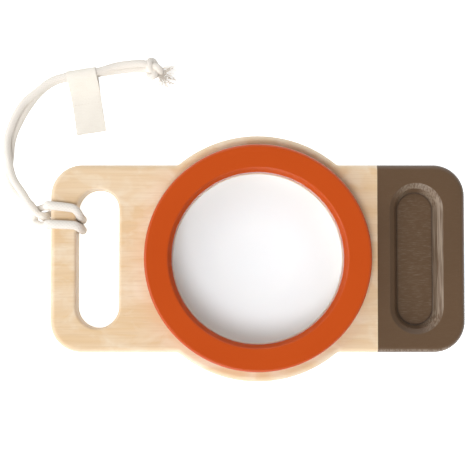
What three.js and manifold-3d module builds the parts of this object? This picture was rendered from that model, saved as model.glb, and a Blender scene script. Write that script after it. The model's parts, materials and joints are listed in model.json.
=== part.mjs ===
// A flat wooden toy magnifying glass: a plate with a finger slot at one end and a painted grip with a
// pocket at the other, a clear lens held by a raised ring, and a cotton strap with a folded label.
// Units are millimetres. X runs along the plate, Y across it, and +Z points out of the front.
// The origin is the middle of the lens, half way from the plate's back to the front of the ring.
import * as THREE from 'three';
import { mergeVertices } from 'three/addons/utils/BufferGeometryUtils.js';
import Module from 'manifold-3d';

const wasm = await Module();
wasm.setup();

// Fits and fineness
const CLEARANCE = 0.3;
const CUT_PAST = 2;
const ARC_STEPS = 5;
const EDGE_STEPS = 3;
const END_STEPS = 12;
const ROUND_STEPS = 60;

// Window, ring and plate disc, from the middle outwards
const WINDOW_RADIUS = 37.1;
const RING_WALL = 11.9;
const RING_RISE = 8;
const RING_OUTER_EDGE = 1.1;
const RING_BEVEL = 1.75;
const RING_BEVEL_FALL = 2;
const SPIGOT_LENGTH = 1.7;
const DISC_MARGIN = 4.5;

// Lens
const LENS_SEAT_WIDTH = 2.9;
const LENS_RIM_THICKNESS = 3;
const LENS_BULGE = 4;
const DOME_MARGIN = 0.4;
const DOME_STEPS = 6;

// Wooden plate
const PLATE_LENGTH = 180;
const PLATE_WIDTH = 81.4;
const PLATE_THICKNESS = 15;
const CORNER_RADIUS = 13.5;
const JUNCTION_RADIUS = 3;
const EDGE_RADIUS = 2.4;
const WINDOW_EASE = 1;

// Finger slot, with the bar that carries the strap
const BAR_WIDTH = 11.2;
const SLOT_WIDTH = 18.6;
const SLOT_LENGTH = 60.4;
const SLOT_EDGE = 1.3;

// Painted grip with its pocket
const POCKET_WALL = 11.8;
const POCKET_WIDTH = 18.6;
const POCKET_LENGTH = 61;
const POCKET_DEPTH = 7;
const POCKET_DRAFT = 1.6;
const POCKET_BEVEL = 2.3;
const POCKET_BEVEL_FALL = 2.2;
const PAINT_MARGIN = 7.6;

// Strap: one cotton cord, doubled, looped round the bar and knotted at its ends
const CORD_DIAMETER = 3.5;
const CORD_SIDES = 8;
const GAP_SAMPLES = 6;
const HITCH_CORD_DIAMETER = 2.9;
const HITCH_STEPS = 110;
const HITCH_SQUARENESS = 6;
const HITCH_TURN_STEP = 15;
const HITCH_BEHIND_BAR = -105;
const HITCH_IN_SLOT = -20;
const HITCH_LEAVES_SLOT = -10;
const HITCH_AT_EDGE = 120;
const HITCH_Y = 18.9;
const HITCH_BACK_PITCH = 4;
const HITCH_BACK_DROP = 0.475;
const HITCH_SLOT_DROP = 3.8;
const HITCH_SLOT_PITCH = 4.6;
const HITCH_OUTER_PITCH = 8.8;
const BIGHT_REACH = 7.4;
const BIGHT_FALL = 0.35;
const BIGHT_SQUARENESS = 0.6;
const PIVOT_OUT = 10.1;
const PIVOT_ASIDE = 5.2;
const PIVOT_LIFT_LOWER = 6.1;
const PIVOT_LIFT_UPPER = 10;
const TAIL_HEADING = new THREE.Vector2(-0.58, 0.81).normalize();
const TAIL_STEPS = 20;

// Knot and frayed ends, placed from the strap's pivot
const KNOT_X = 54.1;
const KNOT_Y = 60.1;
const KNOT_LIFT = 2.9;
const KNOT_RADIUS = 2.5;
const KNOT_CORD_RADIUS = 1.05;
const KNOT_STRETCH = new THREE.Vector3(0.85, 1.05, 1.1);
const KNOT_STEPS = 60;
const FRAY_HEADING = -0.35;
const FRAY_START = 4.9;
const FRAY_SECTIONS = [
  { along: 0, wide: 1.5, high: 1.5, lift: 2.9 },
  { along: 2, wide: 2.4, high: 1.6, lift: 2.4 },
  { along: 4.6, wide: 3.6, high: 1.3, lift: 1.7 },
  { along: 6.6, wide: 3.9, high: 0.8, lift: 1.2 },
];

// Folded label, in a frame of its own: x along the cord, y away from the leaf, z up from the floor
const LABEL_X = 22.3;
const LABEL_Y = 57.95;
const LABEL_TURN = 0.15;
const LABEL_WIDTH = 13.2;
const LABEL_PLY = 0.55;
const LABEL_REACH = 25.9;
const LABEL_LIFT = 0.05;
const LABEL_SEAM = 8;
const LABEL_HINGE_GAP = 0.35;
const LOOP_FAR = 2.15;
const LOOP_NEAR = 6.2;
const LOOP_SHOULDER = 3;
const LOOP_HEIGHT = 8.7;
const LOOP_STEPS = 4;

// Heights and radii that follow from the sizes above
const BACK_Z = -(PLATE_THICKNESS + RING_RISE) / 2;
const PLATE_TOP_Z = BACK_Z + PLATE_THICKNESS;
const RING_TOP_Z = PLATE_TOP_Z + RING_RISE;
const LENS_RADIUS = WINDOW_RADIUS + LENS_SEAT_WIDTH;
const SEAT_RADIUS = LENS_RADIUS + CLEARANCE;
const LENS_RIM_TOP_Z = PLATE_TOP_Z - SPIGOT_LENGTH - CLEARANCE;
const LEDGE_Z = LENS_RIM_TOP_Z - LENS_RIM_THICKNESS;
const RING_RADIUS = WINDOW_RADIUS + RING_WALL;
const DISC_RADIUS = RING_RADIUS + DISC_MARGIN;
const BAR_OUTER_X = -PLATE_LENGTH / 2;
const BAR_INNER_X = BAR_OUTER_X + BAR_WIDTH;
const SLOT_X = BAR_INNER_X + SLOT_WIDTH / 2;
const POCKET_X = PLATE_LENGTH / 2 - POCKET_WALL - POCKET_WIDTH / 2;
const PAINT_LINE_X = POCKET_X - POCKET_WIDTH / 2 - PAINT_MARGIN;

// The table under the toy: the cord behind the bar props that end up, so the table slopes a little
// in the plate's frame, from under the bar to the back edge of the grip.
const BAR_X = (BAR_OUTER_X + BAR_INNER_X) / 2;
const REST_EDGE_X = PLATE_LENGTH / 2 - EDGE_RADIUS;
const FLOOR_TILT = Math.atan((CLEARANCE + HITCH_CORD_DIAMETER) / (REST_EDGE_X - BAR_X));
const floorZ = (x) => BACK_Z - (REST_EDGE_X - x) * Math.tan(FLOOR_TILT);
const PIVOT_X = BAR_OUTER_X - PIVOT_OUT;
const PIVOT_Y = HITCH_Y + PIVOT_ASIDE;

// Routes of the two tails from the pivot to the knot: x, y and the lift of the middle over the table
const LOWER_TAIL = [
  [0, 0, PIVOT_LIFT_LOWER], [-3.6, 2.7, 5.4], [-7.0, 5.9, 4.2], [-9.4, 10.0, 2.8], [-10.5, 14.2, 2.05],
  [-10.4, 18.2, 1.9], [-9.95, 22.4, 1.85], [-9.6, 27.1, 1.85], [-8.4, 31.9, 1.85], [-6.4, 36.5, 1.85],
  [-4.0, 41.1, 1.85], [-1.0, 45.7, 1.85], [2.7, 50.3, 1.85], [7.1, 53.9, 2.0], [11.0, 55.8, 2.3],
  [15.7, 56.9, 2.7], [22.3, 57.8, 2.75], [28.9, 58.9, 2.7], [37.8, 60.3, 1.9], [43.0, 60.9, 1.9],
  [50.4, 60.9, 2.1],
];
const UPPER_TAIL = [
  [0, 0, PIVOT_LIFT_UPPER], [-3.6, 5.4, 8.6], [-6.3, 9.0, 7.3], [-8.3, 12.6, 6.4], [-9.6, 17.2, 5.9],
  [-10.4, 21.2, 5.8], [-10.8, 24.8, 5.7], [-10.8, 28.7, 5.6], [-9.7, 33.1, 5.5], [-8.1, 37.5, 5.4],
  [-5.9, 42.0, 5.4], [-2.8, 46.2, 5.5], [2.4, 50.4, 5.65], [7.0, 54.0, 5.85], [11.2, 56.1, 6.15],
  [15.7, 57.1, 6.55], [22.3, 58.1, 6.6], [28.9, 59.1, 6.5], [37.6, 61.8, 5.5], [43.0, 62.6, 5.4],
  [49.7, 62.9, 5.4],
];

// Stubs of the two tails inside the hitch: how far out from the bar's edge, aside from the hitch's middle
// and up from the plate's back
const LOWER_STUB = [
  [1.4, -2.3, -1.75], [3.2, -1.5, -1.1], [4.9, -0.4, 0.4], [5.8, 0.2, 1.7], [6.8, 1.0, 2.5],
];
const UPPER_STUB = [
  [0.75, 1.3, -0.75], [1.85, 1.1, 1.4], [2.8, 0.4, 4.4], [4.7, 0.2, 6.1], [6.5, 0.9, 6.5],
];

// Shapes and solids

function toSolid(geometry) {
  const bare = geometry.clone();
  bare.deleteAttribute('normal');
  bare.deleteAttribute('uv');
  const merged = mergeVertices(bare);
  const vertProperties = new Float32Array(merged.attributes.position.array);
  const triVerts = new Uint32Array(merged.index.array);
  return new wasm.Manifold(new wasm.Mesh({ numProp: 3, vertProperties, triVerts }));
}

function toGeometry(solid) {
  const mesh = solid.getMesh();
  const geometry = new THREE.BufferGeometry();
  geometry.setAttribute('position', new THREE.BufferAttribute(mesh.vertProperties, 3));
  geometry.setIndex(new THREE.BufferAttribute(mesh.triVerts, 1));
  geometry.computeVertexNormals();
  return geometry;
}

// A closed body through rings of as many points each, with a flat cap at either end.
function loft(rings) {
  const count = rings[0].length;
  const points = rings.flat();
  const last = points.length - count;
  const triangles = [];
  for (let start = 0; start < last; start += count) {
    for (let side = 0; side < count; side += 1) {
      const a = start + side;
      const b = start + (side + 1) % count;
      triangles.push(a, b, b + count, a, b + count, a + count);
    }
  }
  for (let side = 1; side + 1 < count; side += 1) {
    triangles.push(0, side + 1, side);
    triangles.push(last, last + side, last + side + 1);
  }
  const geometry = new THREE.BufferGeometry().setFromPoints(points);
  geometry.setIndex(triangles);
  geometry.computeVertexNormals();
  return geometry;
}

// A body of revolution about Z from points of radius and height.
function turned(profile) {
  const points = profile.map(([radius, height]) => new THREE.Vector2(radius, height));
  return new THREE.LatheGeometry(points, ROUND_STEPS).rotateX(Math.PI / 2);
}

// Points of a quarter round as pairs, from one angle to another about a centre.
function quarter(centreA, centreB, radius, from, to) {
  return Array.from({ length: EDGE_STEPS + 1 }, (_, step) => {
    const angle = from + (to - from) * step / EDGE_STEPS;
    return [centreA + radius * Math.cos(angle), centreB + radius * Math.sin(angle)];
  });
}

// A stack of outlines with round ends, long in Y: levels hold how far each stands out, and its height.
function roundEnded(x, width, length, levels) {
  return loft(levels.map(([grow, z]) => {
    const radius = width / 2 + grow;
    const straight = (length - width) / 2;
    return [1, -1].flatMap((end) => Array.from({ length: END_STEPS + 1 }, (_, step) => {
      const angle = Math.PI * step / END_STEPS;
      const out = new THREE.Vector3(radius * Math.cos(angle), straight + radius * Math.sin(angle), 0);
      return new THREE.Vector3(x + end * out.x, end * out.y, z);
    }));
  }));
}

// A round cord along a curve.
function cord(curve, diameter, steps) {
  const corners = Array.from({ length: CORD_SIDES }, (_, side) => {
    const angle = 2 * Math.PI * side / CORD_SIDES;
    return new THREE.Vector2(diameter / 2 * Math.cos(angle), diameter / 2 * Math.sin(angle));
  });
  return new THREE.ExtrudeGeometry(new THREE.Shape(corners), { steps, extrudePath: curve });
}

function material(color, roughness, metalness = 0) {
  return new THREE.MeshStandardMaterial({ color, roughness, metalness });
}

function piece(name, geometry, finish) {
  const mesh = new THREE.Mesh(geometry, finish);
  mesh.name = name;
  return mesh;
}

// Wooden plate and painted grip

function plateOutline() {
  const cornerX = PLATE_LENGTH / 2 - CORNER_RADIUS;
  const cornerY = PLATE_WIDTH / 2 - CORNER_RADIUS;
  const junctionY = PLATE_WIDTH / 2 + JUNCTION_RADIUS;
  const junctionX = Math.sqrt((DISC_RADIUS + JUNCTION_RADIUS) ** 2 - junctionY ** 2);
  const bearing = Math.atan2(junctionY, junctionX);
  const quarterTurn = Math.PI / 2;
  const outline = new THREE.Shape();
  for (const side of [1, -1]) {
    const turn = side > 0 ? 0 : Math.PI;
    outline.absarc(side * cornerX, side * cornerY, CORNER_RADIUS, turn, turn + quarterTurn);
    outline.absarc(side * junctionX, side * junctionY, JUNCTION_RADIUS,
      turn - quarterTurn, turn + bearing - Math.PI, true);
    outline.absarc(0, 0, DISC_RADIUS, turn + bearing, turn + quarterTurn);
    outline.absarc(0, 0, DISC_RADIUS, turn + quarterTurn, turn + Math.PI - bearing);
    outline.absarc(-side * junctionX, side * junctionY, JUNCTION_RADIUS,
      turn - bearing, turn - quarterTurn, true);
    outline.absarc(-side * cornerX, side * cornerY, CORNER_RADIUS, turn + quarterTurn, turn + Math.PI);
  }
  return outline;
}

function blank() {
  const geometry = new THREE.ExtrudeGeometry(plateOutline(), {
    depth: PLATE_THICKNESS - 2 * EDGE_RADIUS,
    bevelThickness: EDGE_RADIUS,
    bevelSize: EDGE_RADIUS,
    bevelOffset: -EDGE_RADIUS,
    bevelSegments: EDGE_STEPS,
    curveSegments: ARC_STEPS,
  });
  return toSolid(geometry.translate(0, 0, BACK_Z + EDGE_RADIUS));
}

// The half space beyond the paint line, as a block larger than the grip.
function beyondPaintLine() {
  const block = new THREE.BoxGeometry(PLATE_LENGTH, 2 * PLATE_WIDTH, 2 * PLATE_THICKNESS);
  return toSolid(block.translate(PAINT_LINE_X + PLATE_LENGTH / 2, 0, 0));
}

// The slot goes right through, with a small round on its rim at either face.
function slotCut() {
  const levels = [
    [SLOT_EDGE, BACK_Z - CUT_PAST],
    ...quarter(SLOT_EDGE, BACK_Z + SLOT_EDGE, SLOT_EDGE, -Math.PI / 2, -Math.PI),
    ...quarter(SLOT_EDGE, PLATE_TOP_Z - SLOT_EDGE, SLOT_EDGE, Math.PI, Math.PI / 2),
    [SLOT_EDGE, PLATE_TOP_Z + CUT_PAST],
  ];
  return toSolid(roundEnded(SLOT_X, SLOT_WIDTH, SLOT_LENGTH, levels));
}

// The pocket narrows towards its floor and has a bevel round its rim.
function pocketCut() {
  const levels = [
    [-POCKET_DRAFT, PLATE_TOP_Z - POCKET_DEPTH],
    [0, PLATE_TOP_Z - POCKET_BEVEL_FALL],
    [POCKET_BEVEL, PLATE_TOP_Z],
    [POCKET_BEVEL, PLATE_TOP_Z + CUT_PAST],
  ];
  return toSolid(roundEnded(POCKET_X, POCKET_WIDTH, POCKET_LENGTH, levels));
}

// The window through the plate, with the counterbore that takes the lens and the ring's spigot.
function windowCut() {
  const easedRadius = WINDOW_RADIUS + WINDOW_EASE;
  const ease = quarter(easedRadius, BACK_Z + WINDOW_EASE, WINDOW_EASE, -Math.PI / 2, -Math.PI);
  return toSolid(turned([
    [0, BACK_Z - CUT_PAST],
    [easedRadius, BACK_Z - CUT_PAST],
    ...ease,
    [WINDOW_RADIUS, LEDGE_Z],
    [SEAT_RADIUS, LEDGE_Z],
    [SEAT_RADIUS, PLATE_TOP_Z + CUT_PAST],
    [0, PLATE_TOP_Z + CUT_PAST],
  ]));
}

function bodyPlate() {
  const solid = blank().subtract(beyondPaintLine()).subtract(windowCut()).subtract(slotCut());
  return piece('body_plate', toGeometry(solid), material('#e6c59c', 0.55));
}

function gripEnd() {
  const solid = blank().intersect(beyondPaintLine()).subtract(pocketCut());
  return piece('grip_end', toGeometry(solid), material('#69523e', 0.45));
}

// Ring and lens

function lensRing() {
  const spigotZ = PLATE_TOP_Z - SPIGOT_LENGTH;
  const outerEdge = quarter(
    RING_RADIUS - RING_OUTER_EDGE, RING_TOP_Z - RING_OUTER_EDGE, RING_OUTER_EDGE, 0, Math.PI / 2);
  const geometry = turned([
    [RING_RADIUS, PLATE_TOP_Z],
    ...outerEdge,
    [WINDOW_RADIUS + RING_BEVEL, RING_TOP_Z],
    [WINDOW_RADIUS, RING_TOP_Z - RING_BEVEL_FALL],
    [WINDOW_RADIUS, spigotZ],
    [LENS_RADIUS, spigotZ],
    [LENS_RADIUS, PLATE_TOP_Z],
    [RING_RADIUS, PLATE_TOP_Z],
  ]);
  return piece('lens_ring', geometry, material('#ca5620', 0.4));
}

// Two shallow domes on a flat rim: both faces bulge by the same amount.
function lens() {
  const domeRadius = WINDOW_RADIUS - DOME_MARGIN;
  const sphereRadius = (domeRadius ** 2 + LENS_BULGE ** 2) / (2 * LENS_BULGE);
  const rise = (radius) => Math.sqrt(sphereRadius ** 2 - radius ** 2) - sphereRadius + LENS_BULGE;
  const radii = Array.from({ length: DOME_STEPS + 1 }, (_, step) => domeRadius * step / DOME_STEPS);
  const back = radii.map((radius) => [radius, LEDGE_Z - rise(radius)]);
  const front = radii.map((radius) => [radius, LENS_RIM_TOP_Z + rise(radius)]).reverse();
  const geometry = turned([...back, [LENS_RADIUS, LEDGE_Z], [LENS_RADIUS, LENS_RIM_TOP_Z], ...front]);
  return piece('lens', geometry, material('#e8eef0', 0.05));
}

// Strap hitch: the doubled cord goes round the bar and its two tails pass through its own loop

// One turn round the bar, from behind it, up through the slot, over the front and to its outer edge.
function barTurn(side) {
  const out = CLEARANCE + HITCH_CORD_DIAMETER / 2;
  const halfWidth = BAR_WIDTH / 2 + out;
  const halfHeight = PLATE_THICKNESS / 2 + out;
  const middleZ = (BACK_Z + PLATE_TOP_Z) / 2;
  const backY = HITCH_Y - HITCH_BACK_DROP + side * HITCH_BACK_PITCH / 2;
  const slotY = HITCH_Y - HITCH_SLOT_DROP + side * HITCH_SLOT_PITCH / 2;
  const outerY = HITCH_Y + side * HITCH_OUTER_PITCH / 2;
  const squared = (value) => Math.sign(value) * Math.abs(value) ** (2 / HITCH_SQUARENESS);
  const points = [];
  for (let degrees = HITCH_BEHIND_BAR; degrees <= 180; degrees += HITCH_TURN_STEP) {
    const angle = THREE.MathUtils.degToRad(degrees);
    const toSlot = THREE.MathUtils.smoothstep(degrees, HITCH_BEHIND_BAR, HITCH_IN_SLOT);
    const toEdge = THREE.MathUtils.smoothstep(degrees, HITCH_LEAVES_SLOT, HITCH_AT_EDGE);
    const y = THREE.MathUtils.lerp(THREE.MathUtils.lerp(backY, slotY, toSlot), outerY, toEdge);
    const x = BAR_X + halfWidth * squared(Math.cos(angle));
    points.push(new THREE.Vector3(x, y, middleZ + halfHeight * squared(Math.sin(angle))));
  }
  return points;
}

// The bight: down the bar's outer edge, round under the tails on the table and up again.
function bight() {
  const startX = BAR_OUTER_X - CLEARANCE - HITCH_CORD_DIAMETER / 2;
  const startZ = (BACK_Z + PLATE_TOP_Z) / 2;
  const lowZ = floorZ(startX - BIGHT_REACH) + HITCH_CORD_DIAMETER / 2;
  const points = [];
  for (let degrees = HITCH_TURN_STEP; degrees < 180; degrees += HITCH_TURN_STEP) {
    const angle = THREE.MathUtils.degToRad(degrees);
    const x = startX - BIGHT_REACH * Math.sin(angle);
    const across = Math.sign(Math.cos(angle)) * Math.abs(Math.cos(angle)) ** BIGHT_SQUARENESS;
    const y = HITCH_Y + HITCH_OUTER_PITCH / 2 * across;
    points.push(new THREE.Vector3(x, y, startZ + (lowZ - startZ) * Math.sin(angle) ** BIGHT_FALL));
  }
  return points;
}

// A tail's stub, from the back of the bar to the flat end that faces the swinging tail.
function stub(route, lift) {
  const points = route.map(([out, aside, up]) => (
    new THREE.Vector3(BAR_OUTER_X - out, HITCH_Y + aside, BACK_Z + up)
  ));
  const gap = CORD_DIAMETER / 2 + CLEARANCE;
  for (const back of [gap + HITCH_CORD_DIAMETER / 2, gap]) {
    const x = PIVOT_X - back * TAIL_HEADING.x;
    points.push(new THREE.Vector3(x, PIVOT_Y - back * TAIL_HEADING.y, floorZ(x) + lift));
  }
  return points;
}

// The least distance between the surfaces of two stretches of one cord that aren't next to each other.
function leastGap(curve, diameter) {
  const length = curve.getLength();
  const count = Math.ceil(GAP_SAMPLES * length / diameter);
  const points = curve.getSpacedPoints(count);
  const apart = Math.ceil(count * Math.PI * diameter / length);
  let least = Infinity;
  for (let a = 0; a < points.length; a += 1) {
    for (let b = a + apart; b < points.length; b += 1) {
      least = Math.min(least, points[a].distanceTo(points[b]));
    }
  }
  return least - diameter;
}

function strapHitch() {
  const route = [
    ...stub(UPPER_STUB, PIVOT_LIFT_UPPER).reverse(),
    ...barTurn(1),
    ...bight(),
    ...barTurn(-1).reverse(),
    ...stub(LOWER_STUB, PIVOT_LIFT_LOWER),
  ];
  const curve = new THREE.CatmullRomCurve3(route);
  console.log(`strap_hitch least gap to itself: ${leastGap(curve, HITCH_CORD_DIAMETER).toFixed(2)} mm`);
  return piece('strap_hitch', cord(curve, HITCH_CORD_DIAMETER, HITCH_STEPS), material('#eadfd2', 0.9));
}

// Strap tails, knot and fray, in a frame on the table at the pivot

function tail(name, route) {
  const points = route.map((place) => new THREE.Vector3(...place));
  const tube = cord(new THREE.CatmullRomCurve3(points), CORD_DIAMETER, TAIL_STEPS);
  const end = new THREE.SphereGeometry(CORD_DIAMETER / 2, CORD_SIDES, CORD_SIDES / 2);
  end.translate(points[0].x, points[0].y, points[0].z);
  return piece(name, toGeometry(toSolid(tube).add(toSolid(end))), material('#eadfd2', 0.9));
}

function strapKnot() {
  const geometry = new THREE.TorusKnotGeometry(KNOT_RADIUS, KNOT_CORD_RADIUS, KNOT_STEPS, CORD_SIDES);
  geometry.scale(KNOT_STRETCH.x, KNOT_STRETCH.y, KNOT_STRETCH.z);
  const mesh = piece('strap_knot', geometry, material('#e6dacb', 0.9));
  mesh.position.set(KNOT_X, KNOT_Y, KNOT_LIFT);
  return mesh;
}

// The cut ends beyond the knot: a tuft that opens out and settles on the table.
function strapFray() {
  const rings = FRAY_SECTIONS.map(({ along, wide, high, lift }) => (
    Array.from({ length: CORD_SIDES }, (_, side) => {
      const angle = 2 * Math.PI * side / CORD_SIDES;
      return new THREE.Vector3(along, wide * Math.cos(angle), lift + high * Math.sin(angle));
    })
  ));
  const mesh = piece('strap_fray', loft(rings), material('#efe6da', 0.95));
  mesh.position.set(
    KNOT_X + FRAY_START * Math.cos(FRAY_HEADING), KNOT_Y + FRAY_START * Math.sin(FRAY_HEADING), 0);
  mesh.rotation.z = FRAY_HEADING;
  return mesh;
}

// Label: a strip folded round both tails, its two plies sewn together below them

// A flat outline of y and z, drawn out along the cord by the label's width.
function acrossLabel(name, outline) {
  const geometry = new THREE.ExtrudeGeometry(outline, {
    depth: LABEL_WIDTH, bevelEnabled: false, curveSegments: LOOP_STEPS,
  });
  const mesh = piece(name, geometry.translate(0, 0, -LABEL_WIDTH / 2), material('#efe8dc', 0.85));
  mesh.rotation.set(Math.PI / 2, Math.PI / 2, 0);
  return mesh;
}

// The loop, open for the tails: under them, up the far side, over and down to the seam.
function labelLoop() {
  const low = LABEL_LIFT + LABEL_PLY;
  const top = LABEL_LIFT + LOOP_HEIGHT;
  const far = LOOP_FAR + LABEL_PLY;
  const outline = new THREE.Shape();
  outline.moveTo(-LABEL_SEAM, LABEL_LIFT);
  outline.lineTo(0, LABEL_LIFT);
  outline.quadraticCurveTo(far, LABEL_LIFT, far, low + LOOP_FAR);
  outline.lineTo(far, top - LOOP_FAR);
  outline.quadraticCurveTo(far, top + LABEL_PLY, 0, top + LABEL_PLY);
  outline.quadraticCurveTo(-far, top + LABEL_PLY, -LOOP_SHOULDER - LABEL_PLY, top - LOOP_FAR);
  outline.lineTo(-LABEL_SEAM, LABEL_LIFT + 2 * LABEL_PLY);
  const hole = new THREE.Path();
  hole.moveTo(-LOOP_NEAR, low + LABEL_PLY / 2);
  hole.lineTo(-LOOP_SHOULDER, top - LOOP_FAR);
  hole.quadraticCurveTo(-LOOP_FAR, top, 0, top);
  hole.quadraticCurveTo(LOOP_FAR, top, LOOP_FAR, top - LOOP_FAR);
  hole.lineTo(LOOP_FAR, low + LOOP_FAR);
  hole.quadraticCurveTo(LOOP_FAR, low, 0, low);
  outline.holes.push(hole);
  return acrossLabel('label_loop', outline);
}

// The leaf below the seam, with a round edge at the fold where it lifts.
function labelLeaf() {
  const foldY = -LABEL_SEAM - LABEL_HINGE_GAP - LABEL_PLY;
  const foldZ = LABEL_LIFT + LABEL_PLY;
  const outline = new THREE.Shape();
  outline.absarc(foldY, foldZ, LABEL_PLY, -Math.PI / 2, Math.PI / 2);
  outline.lineTo(-LABEL_REACH, foldZ + LABEL_PLY);
  outline.lineTo(-LABEL_REACH, foldZ - LABEL_PLY);
  return acrossLabel('label_leaf', outline);
}

// Assembly

const label = new THREE.Group();
label.position.set(LABEL_X, LABEL_Y, 0);
label.rotation.z = LABEL_TURN;
label.add(labelLoop(), labelLeaf());

const strap = new THREE.Group();
strap.position.set(PIVOT_X, PIVOT_Y, floorZ(PIVOT_X));
strap.rotation.y = -FLOOR_TILT;
strap.add(tail('strap_tail_lower', LOWER_TAIL), tail('strap_tail_upper', UPPER_TAIL));
strap.add(strapKnot(), strapFray(), label);

const magnifier = new THREE.Group();
magnifier.add(bodyPlate(), gripEnd(), lensRing(), lens(), strapHitch(), strap);

export default magnifier;
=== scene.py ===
# A flat wooden toy magnifying glass with a cotton strap: its smooth surfaces, finishes, cord and label.
# Everything is in metres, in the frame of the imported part: X along the plate, +Z out of its front.
import json
import math
import random

import bmesh
import bpy
import numpy as np
from mathutils import Matrix, Vector


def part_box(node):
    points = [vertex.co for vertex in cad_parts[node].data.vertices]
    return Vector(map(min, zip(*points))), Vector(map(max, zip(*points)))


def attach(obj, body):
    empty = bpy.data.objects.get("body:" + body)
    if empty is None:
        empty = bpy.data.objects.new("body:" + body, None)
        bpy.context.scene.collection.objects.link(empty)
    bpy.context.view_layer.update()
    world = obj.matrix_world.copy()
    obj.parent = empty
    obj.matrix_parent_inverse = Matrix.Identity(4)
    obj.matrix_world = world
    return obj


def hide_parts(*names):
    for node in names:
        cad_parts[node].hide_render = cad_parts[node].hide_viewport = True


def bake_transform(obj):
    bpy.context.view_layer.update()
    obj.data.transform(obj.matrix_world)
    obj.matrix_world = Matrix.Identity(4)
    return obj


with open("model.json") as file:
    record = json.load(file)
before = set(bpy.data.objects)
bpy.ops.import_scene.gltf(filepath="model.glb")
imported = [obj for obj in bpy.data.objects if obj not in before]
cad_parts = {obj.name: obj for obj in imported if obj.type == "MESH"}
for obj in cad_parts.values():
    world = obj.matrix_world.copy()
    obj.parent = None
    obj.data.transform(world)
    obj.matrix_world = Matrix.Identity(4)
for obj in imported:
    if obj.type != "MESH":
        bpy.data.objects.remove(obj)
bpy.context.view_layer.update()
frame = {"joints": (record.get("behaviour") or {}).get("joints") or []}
scene = bpy.context.scene
joints = {joint["name"]: joint for joint in frame["joints"]}

# Sizes read from the frame
plate_low, plate_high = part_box("body_plate")
grip_low, grip_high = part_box("grip_end")
ring_low, ring_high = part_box("lens_ring")
lens_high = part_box("lens")[1]
BACK_Z = plate_low.z
TOP_Z = plate_high.z
HALF_LENGTH = grip_high.x
HALF_WIDTH = grip_high.y
PAINT_LINE_X = grip_low.x
DISC_RADIUS = plate_high.y
RING_RADIUS = ring_high.x
RING_TOP_Z = ring_high.z
SPIGOT_Z = ring_low.z
LENS_RADIUS = lens_high.x
LENS_APEX_Z = lens_high.z

# Sizes of the plate, grip, ring and lens
EDGE_RADIUS = 0.0024
CORNER_RADIUS = 0.0135
JUNCTION_RADIUS = 0.003
BAR_WIDTH = 0.0112
SLOT_WIDTH = 0.0186
SLOT_LENGTH = 0.0604
SLOT_EDGE = 0.0013
POCKET_WALL = 0.0118
POCKET_WIDTH = 0.0186
POCKET_LENGTH = 0.061
POCKET_DEPTH = 0.007
POCKET_DRAFT = 0.0016
POCKET_BEVEL = 0.0023
POCKET_BEVEL_FALL = 0.0022
POCKET_EASE = 0.00025
WINDOW_RADIUS = 0.0371
WINDOW_EASE = 0.001
SEAT_CLEARANCE = 0.0003
RING_OUTER_EDGE = 0.0014
RING_BEVEL = 0.00175
RING_BEVEL_FALL = 0.003
RING_EASE = 0.0005
LENS_RIM_HALF = 0.0015
DOME_MARGIN = 0.0004
ARC_STEPS = 24
EDGE_STEPS = 8
END_STEPS = 48
TURN_STEPS = 192
DOME_STEPS = 32
TURN_ANGLES = [2 * math.pi * step / TURN_STEPS for step in range(TURN_STEPS)]
SMOOTH_ANGLE = 40
LENS_SMOOTH_ANGLE = 8

# The strap's own frame: on the table under its hinge, with z along the hinge
PIVOT_HEIGHT = 0.008
strap_z = Vector(joints["strap_swing"]["axis"]).normalized()
strap_x = Vector((strap_z.z, 0, -strap_z.x))
strap_origin = Vector(joints["strap_swing"]["pos_m"]) - PIVOT_HEIGHT * strap_z
strap_axes = (strap_x, strap_z.cross(strap_x), strap_z)
STRAP = Matrix.Translation(strap_origin) @ Matrix(strap_axes).transposed().to_4x4()

# The label's own frame: x along the cord, y away from the leaf, z up from the table
FOLD_Y = -0.0089
FOLD_Z = 0.0006
label_x = -Vector(joints["label_flap"]["axis"]).normalized()
label_y = strap_z.cross(label_x)
label_origin = Vector(joints["label_flap"]["pos_m"]) - FOLD_Y * label_y - FOLD_Z * strap_z
LABEL = Matrix.Translation(label_origin) @ Matrix((label_x, label_y, strap_z)).transposed().to_4x4()

# Cord: one cotton cord, doubled, looped round the bar; its two halves run from the middle of the loop
# Turns round the bar are in degrees, from the slot's side over the front
CORD_SIDES = 40
CORD_STEP = 0.0002
SPAN_STEPS = 24
BRAID_STRANDS = 8
BRAID_LEAD = 0.0127
BRAID_DEPTH = 0.07
BRAID_ROUNDNESS = 2.2
BRAID_DIP = 0.35
TABLE_GAP = 0.00005
WRAP_RADIUS = 0.00172
WRAP_SPREAD = 1.12
LOOP_RADIUS = 0.00152
STUB_RADIUS = 0.0015
TAIL_RADIUS = 0.00172
HITCH_Y = 0.0189
HITCH_REACH = 0.00175
HITCH_SQUARENESS = 6
HITCH_TURN_STEP = 15
HITCH_BEHIND_BAR = -105
HITCH_IN_SLOT = -20
HITCH_LEAVES_SLOT = -10
HITCH_AT_EDGE = 120
HITCH_BACK_PITCH = 0.004
HITCH_BACK_DROP = 0.000475
HITCH_SLOT_DROP = 0.0038
HITCH_SLOT_PITCH = 0.0046
HITCH_OUTER_PITCH = 0.0082
BIGHT_REACH = 0.0074
BIGHT_FALL = 1.0
BIGHT_SQUARENESS = 0.6
BIGHT_LIFT = 0.00145

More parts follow.
